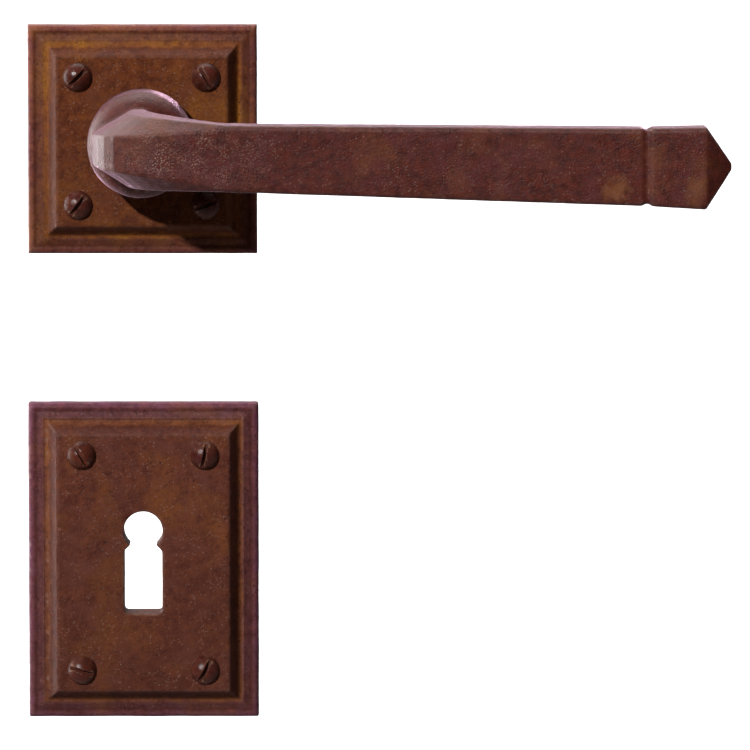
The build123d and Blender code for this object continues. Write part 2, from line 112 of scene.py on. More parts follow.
def lamp(name, kind, strength, towards, distance=2.0):
    """A lamp in this direction from the handle, turned to face it."""
    made = bpy.data.objects.new(name, bpy.data.lights.new(name, kind))
    bpy.context.collection.objects.link(made)
    made.data.energy = strength
    made.location = middle + towards.normalized() * distance
    made.rotation_euler = (-towards).to_track_quat("-Z", "Y").to_euler()
    return made


key = lamp("key", "SUN", 4.4, towards_key)
key.data.angle = math.radians(2.0)
panel_distance, panel_size = 1.3, 1.5
for name, watts, towards in (("left_panel", 52.0, (-1, 0.65, 0.1)), ("top_panel", 26.0, (-0.1, 0.5, 1))):
    lamp(name, "AREA", watts, Vector(towards), panel_distance).data.size = panel_size
world = bpy.data.worlds.new("studio")
bpy.context.scene.world = world
world.use_nodes = True
sky = world.node_tree.nodes["Background"].inputs
sky["Color"].default_value, sky["Strength"].default_value = (1, 1, 1, 1), 0.05
bpy.context.scene.view_settings.view_transform = "Standard"

# %% [markdown]
# ## The bench
#
# Operators act on whatever is chosen, so each job begins by letting go of everything and
# choosing again: one piece, or some of its faces or edges by where they are. A few helpers do
# that, and make the two starting pieces, a box and a turned piece.

# %% Helpers for choosing
def let_go():
    """Leaves edit mode and lets go of everything."""
    if bpy.context.object and bpy.context.object.mode != "OBJECT":
        bpy.ops.object.mode_set(mode="OBJECT")
    bpy.ops.object.select_all(action="DESELECT")


def take(piece):
    """Makes this piece the only chosen one."""
    let_go()
    piece.select_set(True)
    bpy.context.view_layer.objects.active = piece


def into_edit(piece):
    """Opens a piece in edit mode with all of it chosen."""
    take(piece)
    bpy.ops.object.mode_set(mode="EDIT")
    bpy.ops.mesh.select_mode(type="VERT")
    bpy.ops.mesh.select_all(action="SELECT")


def pick_faces(test):
    """Chooses only the faces whose middle and normal pass the test."""
    bpy.ops.mesh.select_mode(type="FACE")
    bpy.ops.mesh.select_all(action="DESELECT")
    mesh = bmesh.from_edit_mesh(bpy.context.object.data)
    chosen = [f for f in mesh.faces if test(f.calc_center_median(), f.normal)]
    for face in chosen:
        face.select_set(True)
    bmesh.update_edit_mesh(bpy.context.object.data)
    return len(chosen)


def pick_edges(test):
    """Chooses only the edges whose two ends pass the test."""
    bpy.ops.mesh.select_mode(type="EDGE")
    bpy.ops.mesh.select_all(action="DESELECT")
    mesh = bmesh.from_edit_mesh(bpy.context.object.data)
    chosen = [e for e in mesh.edges if test(e.verts[0].co, e.verts[1].co)]
    for edge in chosen:
        edge.select_set(True)
    bmesh.update_edit_mesh(bpy.context.object.data)
    return len(chosen)


near_enough = 0.01 * MM       # ends this close count as being on a line
print("the hands are ready")


# %% Helpers for shaping
def push(distance):
    """Draws the chosen face out towards the room by this much."""
    bpy.ops.mesh.extrude_region_move(TRANSFORM_OT_translate={"value": (0, -distance, 0)})


def draw_up(height):
    """Draws the chosen face or edge up by this much."""
    bpy.ops.mesh.extrude_region_move(TRANSFORM_OT_translate={"value": (0, 0, height)})


def settle():
    """Makes a piece's own zero the world's."""
    bpy.ops.object.transform_apply(location=True, rotation=True, scale=True)


def face_outwards():
    """Turns all faces of the piece in hand outwards and puts it down."""
    bpy.ops.mesh.select_all(action="SELECT")
    bpy.ops.mesh.normals_make_consistent(inside=False)
    let_go()


def use_modifier(piece, name, kind, **settings):
    """Adds a modifier, sets it and applies it."""
    take(piece)
    modifier = piece.modifiers.new(name, kind)
    for setting, value in settings.items():
        setattr(modifier, setting, value)
    bpy.ops.object.modifier_apply(modifier=name)


def block(name, low, high):
    """A box between two corners."""
    let_go()
    low, high = Vector(low), Vector(high)
    bpy.ops.mesh.primitive_cube_add(size=1, location=(low + high) / 2, scale=high - low)
    settle()
    bpy.context.object.name = name
    return bpy.context.object


def turned(name, x, z, steps, sides=64):
    """A turned piece: a disc at the first (out, radius) step, drawn out through the others."""
    let_go()
    out, radius = steps[0]
    bpy.ops.mesh.primitive_circle_add(vertices=sides, radius=radius, fill_type="NGON",
                                      location=(x, -out, z), rotation=(math.pi / 2, 0, 0))
    settle()
    piece = bpy.context.object
    piece.name = name
    into_edit(piece)
    for next_out, next_radius in steps[1:]:
        push(next_out - out)
        share = next_radius / radius
        bpy.ops.transform.resize(value=(share, 1, share), center_override=(x, -next_out, z))
        out, radius = next_out, next_radius
    face_outwards()
    return piece


def carve(piece, *cutters, keep="DIFFERENCE"):
    """Cuts the cutters out of a piece, or joins them to it, and clears them away."""
    for cutter in cutters:
        use_modifier(piece, "carve", "BOOLEAN", operation=keep, object=cutter, solver="MANIFOLD")
        bpy.data.objects.remove(cutter)
    return piece


def report(piece):
    """Prints how big a piece is and how many faces it has."""
    corners = [Vector(v.co) for v in piece.data.vertices]
    span = [max(c[i] for c in corners) - min(c[i] for c in corners) for i in range(3)]
    triangles = sum(len(p.vertices) - 2 for p in piece.data.polygons)
    print(piece.name, [round(s / MM, 2) for s in span], "mm,", triangles, "triangles")


print("the bench is ready")

# %% [markdown]
# ## The pale sheet
#
# A studio sweep: one sheet that lies flat below the handle, bends up well behind it and carries
# on as a wall, so that no corner shows. It is a plane whose far edge is drawn up, with the fold
# rounded by a bevel.

# %% Lay the sheet
floor_drop = 360 * MM
sheet_width, sheet_behind, sheet_front, sheet_top = 6.0, 1.2, -1.0, 2.4
sheet_fold = 0.15             # the bevel where it bends up
floor_level = cad_low.z - floor_drop
let_go()
bpy.ops.mesh.primitive_plane_add(size=1, location=(middle.x, 0, floor_level))
sheet = bpy.context.object
sheet.name = "sheet"
into_edit(sheet)
bpy.ops.transform.resize(value=(sheet_width, sheet_behind - sheet_front, 1))
bpy.ops.transform.translate(value=(0, (sheet_behind + sheet_front) / 2, 0))
half_way = (sheet_behind + sheet_front) / 2
pick_edges(lambda a, b: min(a.y, b.y) > half_way)
draw_up(sheet_top - floor_level)
pick_edges(lambda a, b: max(abs(a.z), abs(b.z)) < MM and min(a.y, b.y) > half_way)
bpy.ops.mesh.bevel(offset=sheet_fold, segments=12)
let_go()
take(sheet)
settle()
bpy.ops.object.shade_smooth()
sheet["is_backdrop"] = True
report(sheet)

# %% [markdown]
# ## How a casting gets its skin
#
# A pattern pressed into sand never leaves a perfectly flat face or a sharp edge. Each casting is
# first built with clean planes. A voxel remesh then turns it into one even skin and takes the
# keenness off its edges, and two displacements pull that skin in by a tenth of a millimetre or
# so: a slow one for the waves, and a quick one for the grain of the sand. Both only pull
# inwards, so that the casting never grows. Machined holes are cut after that, and stay crisp.

# %% The casting recipe
def sand_texture(name, size):
    """A cloudy pattern whose lumps are about this big."""
    made = bpy.data.textures.new(name, "CLOUDS")
    made.noise_scale = size
    made.noise_depth = 2
    return made


slow_waves = sand_texture("slow_waves", 7 * MM)
quick_grain = sand_texture("quick_grain", 0.9 * MM)


def sand_cast(piece, skin, wave_depth=0.14 * MM, grain_depth=0.03 * MM):
    """Gives a cleanly built piece the soft, uneven skin of a sand casting."""
    use_modifier(piece, "skin", "REMESH", mode="VOXEL", voxel_size=skin, adaptivity=0)
    use_modifier(piece, "ease", "SMOOTH", factor=0.5, iterations=2)
    for texture, depth in ((slow_waves, wave_depth), (quick_grain, grain_depth)):
        use_modifier(piece, "sand", "DISPLACE", texture=texture, strength=depth, mid_level=1.0,
                     texture_coords="LOCAL", direction="NORMAL")
    report(piece)


def smooth(piece, angle=35):
    """Smooth shading, except across edges sharper than this."""
    take(piece)
    bpy.ops.object.shade_smooth_by_angle(angle=math.radians(angle))
    let_go()


# %% [markdown]
# ## The two plates
#
# Both plates have one moulding: a rounded edge, a shallow step, a flat ledge with a fine groove
# at its inner side, and a bevel that rises to the panel. A joiner would run it along a strip and
# mitre the corners. Here one box is enough, because insetting its front face mitres every step by
# itself: inset for a flat, extrude for a wall, and extrude and shrink for the bevel.

# %% Build a moulded plate
edge_out = 4.35 * MM          # top of the rounded edge
ledge_out = 5.0 * MM          # the ledge rises to this at its inner side
panel_out = 9.0 * MM
edge_round = 1.5 * MM
panel_ease = 0.45 * MM        # how far the panel's edge is eased
step_width, step_depth = 0.45 * MM, 0.25 * MM    # the shallow step inside the rounded edge
ledge_width = 1.8 * MM
groove_width, groove_depth = 0.85 * MM, 0.5 * MM
bevel_width = 2.3 * MM


def moulded_plate(name, low, high):
    """A box whose front face is worked up, step by step, into the moulding."""
    piece = block(name, (low.x, -edge_out, low.z), (high.x, 0, high.z))
    centre = (low + high) / 2
    into_edit(piece)
    pick_faces(lambda place, normal: normal.y < -0.9)
    half = Vector(((high.x - low.x) / 2, 0, (high.z - low.z) / 2))

    def sloped(width, rise, level):
        push(rise)
        shares = ((half.x - width) / half.x, 1, (half.z - width) / half.z)
        bpy.ops.transform.resize(value=shares, center_override=(centre.x, -level, centre.z))
        half.x -= width
        half.z -= width

    bpy.ops.mesh.inset(thickness=edge_round, use_even_offset=True)
    half -= Vector((edge_round, 0, edge_round))
    sloped(step_width, -step_depth, edge_out - step_depth)
    sloped(ledge_width, ledge_out - edge_out + step_depth, ledge_out)
    sloped(groove_width / 2, -groove_depth, ledge_out - groove_depth)
    sloped(groove_width / 2, groove_depth, ledge_out)
    sloped(bevel_width, panel_out - ledge_out, panel_out)

    # The outer edge is rounded, and the panel's edge only eased
    wide, tall = (high.x - low.x) / 2, (high.z - low.z) / 2
    outer = pick_edges(lambda a, b: max(a.y, b.y) < -edge_out + near_enough
                       and min(a.y, b.y) > -edge_out - near_enough
                       and (a.x == b.x and abs(abs(a.x - centre.x) - wide) < near_enough
                            or a.z == b.z and abs(abs(a.z - centre.z) - tall) < near_enough))
    bpy.ops.mesh.bevel(offset=edge_round * 0.95, segments=6, profile=0.5)
    pick_edges(lambda a, b: max(a.y, b.y) < -panel_out + near_enough)
    bpy.ops.mesh.bevel(offset=panel_ease, segments=3, profile=0.5)
    let_go()
    print(name, "had", outer, "outer edges rounded")
    return piece


# %% [markdown]
# ## The rose
#
# The square plate behind the lever. Its front is cast, and its back is machined to hold the
# spring, the stops and the bush, so those pockets are cut last, from turned cutters.

# %% Cast the rose and machine its back
chamber_out, cover_out = 6.0 * MM, 1.5 * MM    # how deep the spring's room and the cover's are
bush_radius, chamber_radius = 10.0 * MM, 17.0 * MM
pocket_radius = chamber_radius + cover_out
ear_circle, ear_radius = 20.5 * MM, 3.4 * MM    # the cover's two ears hold its screws
ear_hole, ear_hole_depth = 1.25 * MM, 5 * MM
screw_hole = 1.9 * MM
bush_low, bush_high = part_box("neck_bush")
cover_low, cover_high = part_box("spring_cover")
slot_from, slot_to, slot_high = -18.75 * MM, -15 * MM, 0.85 * MM    # holds the spring's fixed leg
behind = -0.5 * MM            # cutters start this far behind the plate

rose_low, rose_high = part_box("rose_plate")
rose = moulded_plate("rose_casting", rose_low, rose_high)
sand_cast(rose, 0.36 * MM)
carve(rose,
      turned("bush_bore", 0, 0, [(behind, bush_radius), (panel_out + 1 * MM, bush_radius)], 96),
      turned("chamber", 0, 0, [(behind, chamber_radius), (chamber_out, chamber_radius)], 96),
      turned("pocket", 0, 0, [(behind, pocket_radius), (cover_out, pocket_radius)], 96))
for side in (-1, 1):
    carve(rose,
          turned("ear", 0, side * ear_circle, [(behind, ear_radius), (cover_out, ear_radius)]),
          turned("cover_screw_hole", 0, side * ear_circle,
                 [(behind, ear_hole), (ear_hole_depth, ear_hole)], 32))
carve(rose, block("spring_slot", (slot_from, -chamber_out, -slot_high),
                  (slot_to, -cover_out, slot_high)))
for part, low, high in (("bush", bush_low, bush_high), ("cover", cover_low, cover_high)):
    print("the rose takes a", part, "of", [round(v / MM, 2) for v in high - low], "mm")

# %% [markdown]
# ## The keyhole plate
#
# A rectangular plate with the same moulding. The keyhole was part of the pattern, so it is cut
# before the casting's skin is made and its rim comes out soft. Behind, the plate is hollow, with
# a boss at each screw and a rim round the keyhole.

# %% Cut the keyhole and cast the plate
keyhole_middle = -92.0 * MM
keyhole_radius = 4.5 * MM
waist_half, waist_drop = 2.9 * MM, 3.25 * MM
slot_half, shoulder_drop, foot_drop = 4.4 * MM, 4.8 * MM, 19.4 * MM
foot_ease = 0.6 * MM


def key_cutter(grow, out_low, out_high):
    """The keyhole as two solids: a round one, and a slot with a narrow waist at its top."""
    round_part = turned("key_round", 0, keyhole_middle,
                        [(out_low, keyhole_radius + grow), (out_high, keyhole_radius + grow)], 96)
    top, foot = keyhole_middle - shoulder_drop, keyhole_middle - foot_drop
    slot_part = block("key_slot", (-slot_half - grow, -out_high, foot - grow),
                      (slot_half + grow, -out_low, top))
    into_edit(slot_part)
    # The waist: the slot's top face is drawn up and pinched
    pick_faces(lambda place, normal: normal.z > 0.9)
    draw_up(shoulder_drop - waist_drop)
    pinch = (waist_half + grow) / (slot_half + grow)
    bpy.ops.transform.resize(value=(pinch, 1, 1), center_override=(0, 0, 0))
    draw_up(1.5 * MM)
    # The foot's two corners are eased
    pick_edges(lambda a, b: max(abs(a.z - foot + grow), abs(b.z - foot + grow)) < near_enough
               and abs(a.x - b.x) < near_enough)
    bpy.ops.mesh.bevel(offset=foot_ease, segments=4)
    let_go()
    return carve(round_part, slot_part, keep="UNION")


plate_low, plate_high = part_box("escutcheon_plate")
keyplate = moulded_plate("escutcheon_casting", plate_low, plate_high)
carve(keyplate, key_cutter(0, behind, panel_out + 1 * MM))
sand_cast(keyplate, 0.38 * MM)

# %% Hollow out its back
screw_corners = [(x, z) for x in (-1, 1) for z in (-1, 1)]
plate_centre = (plate_low + plate_high) / 2
plate_aside, plate_up, rose_aside = 14.5 * MM, 25.5 * MM, 15.0 * MM    # from a plate's middle
plate_screws = [(x * plate_aside, plate_centre.z + z * plate_up) for x, z in screw_corners]
rose_screws = [(x * rose_aside, z * rose_aside) for x, z in screw_corners]


def recess(inset, depth):
    """A box that stands this far inside the plate's outline."""
    return block("recess", (plate_low.x + inset, -depth, plate_low.z + inset),
                 (plate_high.x - inset, -behind, plate_high.z - inset))


boss_radius, key_rim = 4.2 * MM, 2.5 * MM      # what is left solid at each screw and the keyhole
past_low, past_high = -1 * MM, 7 * MM          # those stand past the hollow at both ends
edge_wall, edge_depth = 3.0 * MM, 2.5 * MM     # shallow under the ledge
panel_wall, panel_depth = 7.73 * MM, 6.5 * MM  # and deep under the panel
hollow = carve(recess(edge_wall, edge_depth), recess(panel_wall, panel_depth), keep="UNION")
for x, z in plate_screws:
    carve(hollow, turned("boss", x, z, [(past_low, boss_radius), (past_high, boss_radius)], 48))
carve(hollow, key_cutter(key_rim, past_low, past_high))
carve(keyplate, hollow)
for plate, places in ((rose, rose_screws), (keyplate, plate_screws)):
    for x, z in places:
        carve(plate, turned("screw_hole", x, z, [(behind, screw_hole), (10 * MM, screw_hole)], 32))
    smooth(plate)
    report(plate)

# %% [markdown]
# ## The wood screws
#
# Slotted round-head screws, 3.5 by 30. The head is turned as a dome and the slot cut across it.
# The thread is a three-cornered ridge: one small triangle that the Screw modifier winds round
# the shank. All eight are alike, so one is modelled at the origin and copied to its place with
# its own slot angle.

# %% Model one screw
head_radius, head_height = 3.5 * MM, 2.4 * MM
slot_width, slot_depth = 0.9 * MM, 1.3 * MM
shank_radius, thread_radius = 1.3 * MM, 1.75 * MM
thread_from, point_from, point_end = panel_out, 26 * MM, 30 * MM
pitch = 1.6 * MM

sphere = (head_radius**2 + head_height**2) / (2 * head_height)
dome = [(0.0, head_radius - 0.04 * MM)]
for step in range(1, 12):
    rise = head_height * math.sin(math.pi / 2 * step / 12)
    dome.append((rise, math.sqrt(sphere**2 - (rise + sphere - head_height) ** 2)))
dome.append((head_height, 0.25 * MM))
shank = [(-point_end, 0.12 * MM), (-point_from, shank_radius), (0.3 * MM, shank_radius)]
screw = carve(turned("screw", 0, 0, dome), turned("shank", 0, 0, shank, 32), keep="UNION")
slot = block("slot", (-5 * MM, -5 * MM, -slot_width / 2),
             (5 * MM, -head_height + slot_depth, slot_width / 2))
carve(screw, slot)
use_modifier(screw, "ease", "BEVEL", width=0.1 * MM, segments=2, limit_method="ANGLE",
             angle_limit=math.radians(38))

# %% Wind its thread
let_go()
ridge_root = 0.15 * MM        # how deep it starts inside the shank
ridge_high = thread_radius - shank_radius + ridge_root
ridge_half = 0.42 * pitch
triangle_high, triangle_half = 1.5, 0.866    # of the circle of three corners
run_out = 0.88                # how much of its width is gone at the point's end
bpy.ops.mesh.primitive_circle_add(vertices=3, radius=1, rotation=(0, 0, -math.pi / 2))
thread = bpy.context.object
into_edit(thread)
bpy.ops.transform.resize(value=(ridge_high / triangle_high, ridge_half / triangle_half, 1),
                         center_override=(0, 0, 0))
bpy.ops.transform.translate(value=(thread_radius - ridge_high / triangle_high,
                                   thread_from + 0.6 * MM, 0))
let_go()
take(thread)
settle()
turns = round((point_end - thread_from - 2 * MM) / pitch)
use_modifier(thread, "wind", "SCREW", axis="Y", screw_offset=pitch, iterations=turns,
             steps=20, render_steps=20, angle=2 * math.pi, use_merge_vertices=True)
into_edit(thread)
bpy.ops.mesh.fill_holes(sides=4)
face_outwards()
for corner in thread.data.vertices:    # the ridge runs out on the point
    past = max(0.0, corner.co.y - point_from) / (point_end - point_from)
    corner.co.x *= 1 - run_out * past
    corner.co.z *= 1 - run_out * past
carve(screw, thread, keep="UNION")
smooth(screw, 40)
report(screw)

# %% Drive the eight screws
rose_slots = (52, 45, 20, -60)
plate_slots = (-17, -60, 62, 78)
screws = {"rose_screws": [], "escutcheon_screws": []}
for node, places, angles in (("rose_screws", rose_screws, rose_slots),
                             ("escutcheon_screws", plate_screws, plate_slots)):
    for number, ((x, z), angle) in enumerate(zip(places, angles), 1):
        copy = screw.copy()
        copy.data = screw.data.copy()
        copy.name = f"{node}_{number}"
        bpy.context.collection.objects.link(copy)
        copy.data.transform(Matrix.Translation((x, -panel_out, z))
                            @ Matrix.Rotation(math.radians(-angle), 4, "Y"))
        screws[node].append(copy)
bpy.data.objects.remove(screw)
print("screws driven:", [len(group) for group in screws.values()])

# %% [markdown]
# ## The lever
#
# The smith's shape is an eight-sided bar that swells out of a round neck, bends a quarter turn
# towards the tip, runs almost level, and ends in a groove, a short block and a blunt point. In
# Blender it is built like a boat: ribs are set up across it and the skin is bridged over them.
# Each rib is a plane with its four corners bevelled off. Those of the bend fan out from one
# line. Their near ends follow an ellipse and their far ends a squarer curve, so the outside of
# the bend is boxy. Towards the neck the cut corners grow and get deeper than they are high.

# %% Set up the ribs
pivot_x, pivot_out = 20.0 * MM, 24.0 * MM
bend_outer, bend_inner = (31.0 * MM, 25.5 * MM), (10.0 * MM, 16.5 * MM)
bar_front, bar_back = 49.5 * MM, 40.5 * MM
bar_drop, bar_slope = 0.65 * MM, 0.0205    # the bar starts a little low and sinks to its tip
bar_half, bar_corner = 7.75 * MM, 0.8 * MM
neck_half, neck_corner = 8.8 * MM, 5.5 * MM
bend_squareness, neck_slant = 3.6, 1.7


def ellipse(halves, angle, power=2.0):
    """How far an ellipse, or a squarer curve, is from its middle, at this angle from its first half."""
    across, along = math.cos(angle) / halves[0], math.sin(angle) / halves[1]
    return (across ** power + along ** power) ** (-1 / power)


def rib(near, far, half_height, corner, angle, height, slant=1.0):
    """A rib from near to far along a spoke of the bend. Its cut corners are slant times as deep."""
    bpy.ops.mesh.primitive_plane_add(size=1, location=(0, 0, 0))
    bpy.ops.transform.resize(value=((far - near) / slant, 2 * half_height, 1), center_override=(0, 0, 0))
    bpy.ops.mesh.bevel(affect="VERTICES", offset=corner, offset_type="OFFSET")
    bpy.ops.transform.resize(value=(slant, 1, 1), center_override=(0, 0, 0))
    bpy.ops.transform.rotate(value=math.pi / 2, orient_axis="X", center_override=(0, 0, 0))
    bpy.ops.transform.rotate(value=-angle, orient_axis="Z", center_override=(0, 0, 0))
    spoke = (near + far) / 2
    return Vector((-spoke * math.cos(angle), -spoke * math.sin(angle), height))


def bar_rib(x, half_height, corner=bar_corner, inset=0.0, thickness=None, lift=0.0):
    """A rib square across the straight bar."""
    thick = bar_front - bar_back if thickness is None else thickness
    centre_out = (bar_front + bar_back) / 2
    rib(0, thick - 2 * inset, half_height - inset, corner, math.pi / 2, 0)
    bpy.ops.transform.translate(value=(x, -centre_out, -bar_drop - bar_slope * x + lift))


let_go()
bpy.ops.mesh.primitive_plane_add(size=1)
lever = bpy.context.object
lever.name = "lever_casting"
into_edit(lever)
bpy.ops.mesh.delete(type="VERT")
bend_steps = 16
first_out, first_half = 12 * MM, 10.5 * MM    # the first rib lies inside the neck
rib(-first_half, first_half, neck_half, neck_corner, 0, 0, neck_slant)
bpy.ops.transform.translate(value=(-0.5 * MM, -first_out, 0))
for step in range(bend_steps + 1):
    angle = math.pi / 2 * step / bend_steps
    fade = math.cos(angle)    # 1 at the neck and 0 at the bar
    place = rib(ellipse(bend_inner, angle), ellipse(bend_outer, angle, bend_squareness),
                bar_half + (neck_half - bar_half) * fade, bar_corner + (neck_corner - bar_corner) * fade,
                angle, -(bar_drop + bar_slope * pivot_x) * (1 - fade), 1 + (neck_slant - 1) * fade)
    bpy.ops.transform.translate(value=place + Vector((pivot_x, -pivot_out, 0)))
# The groove's three ribs and the block's last one, each with its half height and its inset
for x, half, inset in ((115.6, 9.05, 0), (116.8, 9.05, 0.6), (118.0, 9.1, 0), (130.4, 9.6, 0)):
    bar_rib(x * MM, half * MM, inset=inset * MM)
tip_x, tip_blunt = 136.45 * MM, 0.7 * MM
bar_rib(tip_x, tip_blunt, 0.12 * MM, 0, tip_blunt, 0.3 * MM)
print(bend_steps + 7, "ribs set up")

# %% Bridge the skin over them
open_ribs = pick_faces(lambda place, normal: place.y < -first_out - MM and place.x < tip_x - MM)
bpy.ops.mesh.delete(type="ONLY_FACE")
bpy.ops.mesh.select_mode(type="EDGE")
bpy.ops.mesh.select_all(action="SELECT")
bpy.ops.mesh.bridge_edge_loops()
face_outwards()
print(open_ribs, "ribs opened between the two ends")
report(lever)

# %% [markdown]
# The neck is a short round post with a rounded shoulder. It and the bend run through each other
# as two solids, and the voxel remesh makes one skin of them. The journal below the neck is
# machined, so it is turned apart and joined on after the casting has its skin.

# %% Add the neck and cast the lever
neck_radius, neck_low, neck_top = 12.5 * MM, 10.05 * MM, 27.0 * MM
neck_round = 7.0 * MM
neck = turned("neck", 0, 0, [(neck_low, neck_radius), (neck_top, neck_radius)], 128)
into_edit(neck)
pick_edges(lambda a, b: max(a.y, b.y) < -neck_top + near_enough)
bpy.ops.mesh.bevel(offset=neck_round, segments=12, profile=0.5)
take(lever)
neck.select_set(True)
bpy.ops.object.join()
sand_cast(lever, 0.37 * MM)

# %% Machine its journal, flats and holes
journal_radius, journal_end = 8.0 * MM, 1.7 * MM
flat_half, flat_out, beside = 6.6 * MM, 5.4 * MM, 9 * MM    # two flats, cut from beside the journal
ring_out, ring_room, ring_floor = 2.3 * MM, 1.05 * MM, 7.6 * MM
journal = turned("journal", 0, 0, [
    (journal_end, journal_radius - 0.25 * MM), (journal_end + 0.25 * MM, journal_radius),
    (ring_out, journal_radius), (ring_out, ring_floor), (ring_out + ring_room, ring_floor),
    (ring_out + ring_room, journal_radius), (neck_low + 2 * MM, journal_radius)], 96)
for side in (-1, 1):
    near, far = sorted((side * flat_half, side * beside))
    carve(journal, block("flat", (near, -flat_out, -beside), (far, 1 * MM, beside)))
carve(lever, journal, keep="UNION")
square, square_out = 4.1 * MM, 28 * MM    # the spindle's hole, with a tenth of a millimetre round it
carve(lever, block("square_hole", (-square, -square_out, -square), (square, 0, square)))
grub_low, grub_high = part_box("spindle_grub_screw")
grub_out = -(grub_low.y + grub_high.y) / 2
grub_radius = 3.0 * MM
grub_hole = turned("grub_hole", 0, 0, [(0, grub_radius), (15 * MM, grub_radius)], 48)
grub_hole.data.transform(Matrix.Translation((0, -grub_out, 0)) @ Matrix.Rotation(math.pi / 2, 4, "X"))
carve(lever, grub_hole)
smooth(lever)
report(lever)

# %% [markdown]
# ## Finishes
#
# Every finish is built from a few shared effects, each a node group with its own inputs. They
# read Object coordinates, so a pattern keeps its size in metres on every piece and moves with
# it. A group gives only colours, masks and heights. The shader, with its gloss and its sheen, is
# set in each material.

# %% Helpers for node trees
def link(value, socket):
    """Links an output to an input of the same tree."""
    value.id_data.links.new(value, socket)


def add(tree, kind, inputs=None, **settings):
    """Adds a node, sets it, and links or sets its inputs."""
    made = tree.nodes.new("ShaderNode" + kind)
    for setting, value in settings.items():
        setattr(made, setting, value)
    for socket, value in (inputs or {}).items():
        if isinstance(value, bpy.types.NodeSocket):
            link(value, made.inputs[socket])
        else:
            made.inputs[socket].default_value = value
    return made


def here(tree):
    """Where a point is on its piece."""
    return add(tree, "TexCoord").outputs["Object"]


def along_axes(tree):
    """The same place as its X, Y and Z."""
    return add(tree, "SeparateXYZ", {0: here(tree)}).outputs


def sums(tree, operation, first, second=0.0, third=None):
    """One sum on values, and where it comes out."""
    made = add(tree, "Math", {0: first, 1: second}, operation=operation)
    if third is not None:
        made.inputs[2].default_value = third
    return made.outputs[0]


def times(tree, first, second):
    """One value times another."""
    return sums(tree, "MULTIPLY", first, second)


def ranged(tree, value, low, high, to_low=0.0, to_high=1.0):
    """The value, stretched so that low gives to_low and high gives to_high."""
    made = add(tree, "MapRange", {"Value": value, "From Min": low, "From Max": high,
                                  "To Min": to_low, "To Max": to_high})
    return made.outputs["Result"]


def mixed(tree, share, first, second, blend="MIX"):
    """A mix of two colours."""
    made = tree.nodes.new("ShaderNodeMix")
    made.data_type, made.blend_type = "RGBA", blend
    for socket, value in ((made.inputs[0], share), (made.inputs[6], first), (made.inputs[7], second)):
        if isinstance(value, bpy.types.NodeSocket):
            link(value, socket)
        elif socket == made.inputs[0]:
            socket.default_value = value
        else:
            socket.default_value = (*value, 1)
    return made.outputs[2]


def noise(tree, size, detail=2.0, distortion=0.0, place=None, roughness=0.55):
    """A soft noise whose lumps are about this big, as a value."""
    place = place or here(tree)
    made = add(tree, "TexNoise", {"Vector": place, "Detail": detail, "Distortion": distortion,
                                  "Roughness": roughness})
    if isinstance(size, bpy.types.NodeSocket):
        link(sums(tree, "DIVIDE", 1.0, size), made.inputs["Scale"])
    else:
        made.inputs["Scale"].default_value = 1 / size
    return made.outputs["Fac"]


def scattered(tree, size):
    """Cells of about this size, strewn at random."""
    return add(tree, "TexVoronoi", {"Vector": here(tree), "Scale": sums(tree, "DIVIDE", 1.0, size)})


def new_group(name, inputs, outputs):
    """A node group with named inputs, their usual values, and named outputs."""
    tree = bpy.data.node_groups.new(name, "ShaderNodeTree")
    for label, value in inputs.items():
        kind = "NodeSocketColor" if isinstance(value, tuple) else "NodeSocketFloat"
        socket = tree.interface.new_socket(name=label, in_out="INPUT", socket_type=kind)
        socket.default_value = (*value, 1) if isinstance(value, tuple) else value
    for label in outputs:
        kind = "NodeSocketColor" if label == "Color" else "NodeSocketFloat"
        tree.interface.new_socket(name=label, in_out="OUTPUT", socket_type=kind)
    return tree, tree.nodes.new("NodeGroupInput").outputs, tree.nodes.new("NodeGroupOutput").inputs


def place_group(tree, name, **values):
    """Places a shared effect in a material, with its own values."""
    made = tree.nodes.new("ShaderNodeGroup")
    made.node_tree = bpy.data.node_groups[name]
    for label, value in values.items():
        socket = made.inputs[label.replace("_", " ")]
        if isinstance(value, bpy.types.NodeSocket):
            link(value, socket)
        else:
            socket.default_value = (*value, 1) if isinstance(value, tuple) else value
    return made.outputs


# %% [markdown]
# ### Cast grain
#
# Sand leaves a grain of two sizes, a fine tooth all over and small round pits here and there.
# The group adds them up as a height for a Bump node, and gives the pits as a mask, because dark
# wax stays in them.

# %% Group: cast grain
tree, given, result = new_group("Cast grain", {"Grain": 0.5 * MM, "Pit": 0.9 * MM, "Pit depth": 0.4},
                                ["Height", "Pits"])
tooth = noise(tree, given["Grain"], detail=3)
cells = scattered(tree, given["Pit"])
pits = times(tree, ranged(tree, cells.outputs["Distance"], 0.34, 0.12),
            ranged(tree, noise(tree, 5 * MM), 0.45, 0.6))
sunk = times(tree, pits, given["Pit depth"])
link(sums(tree, "SUBTRACT", tooth, sunk), result["Height"])
link(pits, result["Pits"])

# %% [markdown]
# ### Rust patina
#
# Waxed rust isn't one brown. Under the wax it wanders from near black through red-brown to
# ochre. Three noises of different sizes choose between the four colours, and the largest decides
# where the ochre blooms.

